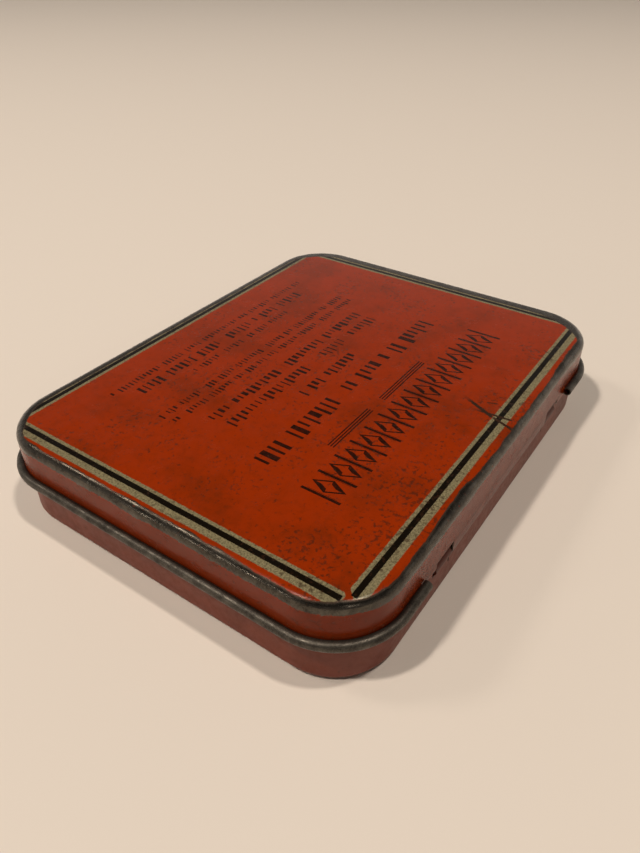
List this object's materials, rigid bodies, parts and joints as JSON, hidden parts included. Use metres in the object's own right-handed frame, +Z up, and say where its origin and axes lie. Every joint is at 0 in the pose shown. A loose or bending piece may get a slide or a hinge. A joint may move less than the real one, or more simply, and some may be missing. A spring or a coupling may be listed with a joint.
{
  "type": "hinged flat tin",
  "caption": "Flat rectangular tinplate box with rounded corners, a beaded lid hinged on a wire along one long side, and a shallow base pan.",
  "frame": {"origin": "middle of the underside of the base pan, on the table", "axes": "+X along the long, hinged side; +Y towards the hinge; +Z up"},
  "size_m": [0.095, 0.0752, 0.0164],
  "materials": {
    "base_enamel": "semi-gloss enamel, worn",
    "lid_litho": "semi-gloss printed enamel, worn to bare metal at the edges",
    "hinge_steel": "dull, tarnished"
  },
  "bodies": {
    "base": {"base_pan": "base_enamel", "hinge_wire": "hinge_steel"},
    "lid": {"lid_shell": "lid_litho"}
  },
  "joints": [
    {"name": "lid_hinge", "type": "hinge", "parent": "base", "child": "lid", "pos_m": [0, 0.03531, 0.0072], "axis": [-1, 0, 0], "range_deg": [0, 105]}
  ]
}
